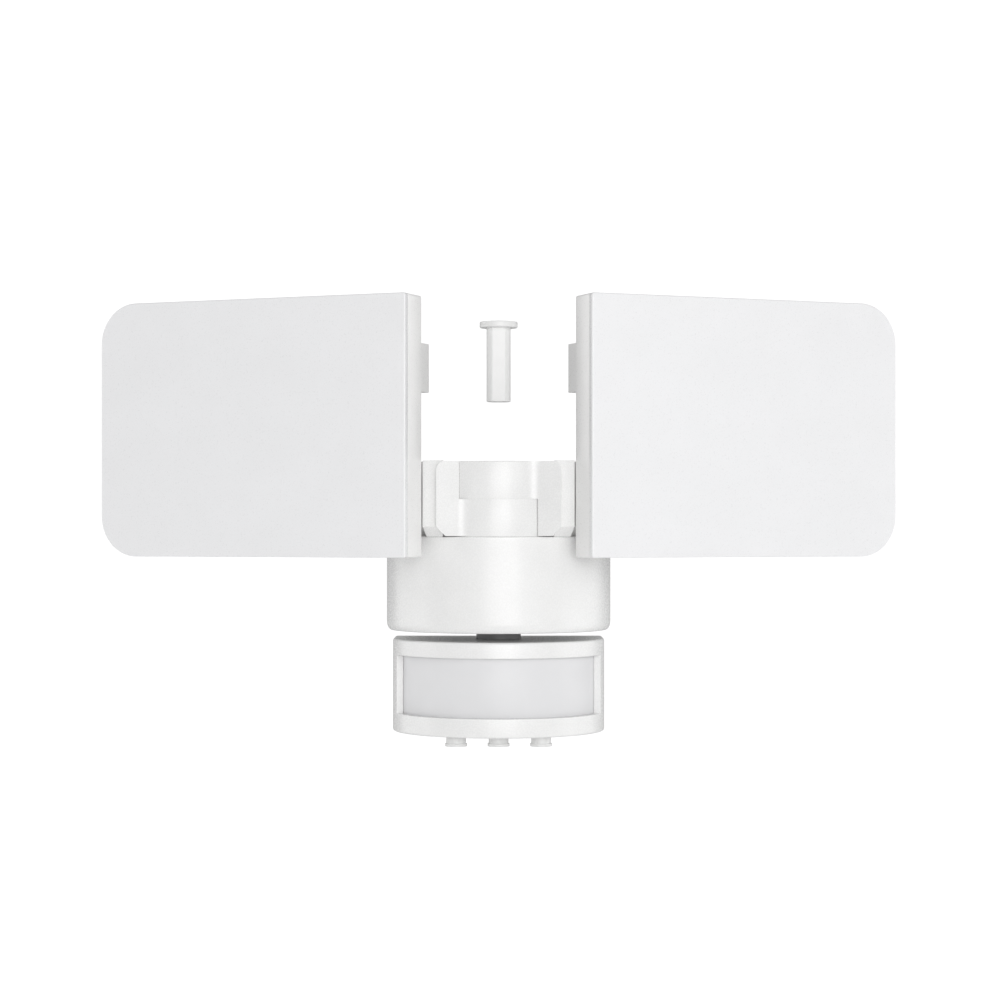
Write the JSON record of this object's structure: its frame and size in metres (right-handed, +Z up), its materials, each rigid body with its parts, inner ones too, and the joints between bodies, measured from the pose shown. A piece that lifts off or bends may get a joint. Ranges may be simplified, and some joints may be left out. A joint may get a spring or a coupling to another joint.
{
  "type": "twin-head security floodlight",
  "caption": "Wall-mounted security floodlight: flat square lamp heads swing and tilt on an interleaved hub above a round-fronted housing with a motion sensor below.",
  "frame": {"origin": "centre of the wall plate's rear face", "axes": "+X to the viewer's right along both lamp heads, +Y into the wall, +Z up; the light faces -Y"},
  "size_m": [0.2854, 0.112, 0.1562],
  "materials": {
    "white_plastic": "semi-gloss white moulded plastic with a very fine grain",
    "opal_cover": "satin opal white diffuser",
    "opal_lens": "frosted white polyethylene lens",
    "seal_rubber": "black elastomer",
    "white_board": "white solder-resist LED board",
    "dark_plastic": "black moulded plastic",
    "sink_aluminium": "bare extruded aluminium",
    "white_metal": "white powder coat on steel",
    "steel": "zinc-plated steel",
    "circuit_board": "green circuit board",
    "terminal_plastic": "pale grey moulded terminal block"
  },
  "bodies": {
    "base": {"wall_plate": "steel", "entry_grommet": "seal_rubber", "rear_seal": "seal_rubber", "housing": "white_plastic", "left_housing_screw": "steel", "right_housing_screw": "steel", "driver_board": "circuit_board", "transformer_core": "dark_plastic", "capacitor": "dark_plastic", "terminal_block": "terminal_plastic", "hub_spindle": "steel", "spindle_nut": "steel", "hub_washer": "dark_plastic"},
    "left_arm_body": {"left_arm": "white_plastic", "left_tilt_shaft": "steel"},
    "left_head": {"left_front_cover": "opal_cover", "left_rear_shell": "white_plastic", "left_cover_gasket": "seal_rubber", "left_led_board": "white_board", "left_junction_box": "white_plastic", "left_cable_gland": "dark_plastic", "left_heat_sink": "sink_aluminium", "left_tilt_bracket": "white_metal"},
    "left_knob": {"left_tilt_knob": "white_plastic"},
    "right_arm_body": {"right_arm": "white_plastic", "right_tilt_shaft": "steel"},
    "right_head": {"right_front_cover": "opal_cover", "right_rear_shell": "white_plastic", "right_cover_gasket": "seal_rubber", "right_led_board": "white_board", "right_junction_box": "white_plastic", "right_cable_gland": "dark_plastic", "right_heat_sink": "sink_aluminium", "right_tilt_bracket": "white_metal"},
    "right_knob": {"right_tilt_knob": "white_plastic"},
    "sensor": {"sensor_housing": "white_plastic", "sensor_lens": "opal_lens", "sensor_neck": "dark_plastic", "sensor_cover": "white_plastic", "sensor_board": "circuit_board", "detector_can": "steel", "control_board": "circuit_board"},
    "time_dial_body": {"time_dial": "white_plastic"},
    "light_dial_body": {"light_dial": "white_plastic"},
    "range_dial_body": {"range_dial": "white_plastic"},
    "pin": {"pivot_pin": "white_plastic"}
  },
  "joints": [
    {"name": "left_pan", "type": "hinge", "parent": "base", "child": "left_arm_body", "pos_m": [0, -0.079, 0.01665], "axis": [0, 0, 1], "range_deg": [-6, 30]},
    {"name": "left_tilt", "type": "hinge", "parent": "left_arm_body", "child": "left_head", "pos_m": [-0.02051, -0.08475, 0.01665], "axis": [0.9239, -0.3827, 0], "range_deg": [-25, 10]},
    {"name": "left_knob_turn", "type": "hinge", "parent": "left_arm_body", "child": "left_knob", "pos_m": [-0.02051, -0.08475, 0.01665], "axis": [0.9239, -0.3827, 0], "range_deg": [-180, 180]},
    {"name": "right_pan", "type": "hinge", "parent": "base", "child": "right_arm_body", "pos_m": [0, -0.079, 0.01665], "axis": [0, 0, -1], "range_deg": [-6, 30]},
    {"name": "right_tilt", "type": "hinge", "parent": "right_arm_body", "child": "right_head", "pos_m": [0.02051, -0.08475, 0.01665], "axis": [0.9239, 0.3827, 0], "range_deg": [-25, 10]},
    {"name": "right_knob_turn", "type": "hinge", "parent": "right_arm_body", "child": "right_knob", "pos_m": [0.02051, -0.08475, 0.01665], "axis": [0.9239, 0.3827, 0], "range_deg": [-180, 180]},
    {"name": "sensor_pan", "type": "hinge", "parent": "base", "child": "sensor", "pos_m": [0, -0.062, -0.0313], "axis": [0, 0, 1], "range_deg": [-40, 40]},
    {"name": "time_dial_turn", "type": "hinge", "parent": "sensor", "child": "time_dial_body", "pos_m": [-0.01485, -0.087, -0.068], "axis": [0, 0, 1], "range_deg": [-135, 135]},
    {"name": "light_dial_turn", "type": "hinge", "parent": "sensor", "child": "light_dial_body", "pos_m": [0, -0.087, -0.068], "axis": [0, 0, 1], "range_deg": [-135, 135]},
    {"name": "range_dial_turn", "type": "hinge", "parent": "sensor", "child": "range_dial_body", "pos_m": [0.01485, -0.087, -0.068], "axis": [0, 0, 1], "range_deg": [-135, 135]},
    {"name": "pivot_pin_drop", "type": "slide", "parent": "base", "child": "pin", "axis": [0, 0, 1], "range_m": [-0.0472, 0]}
  ]
}
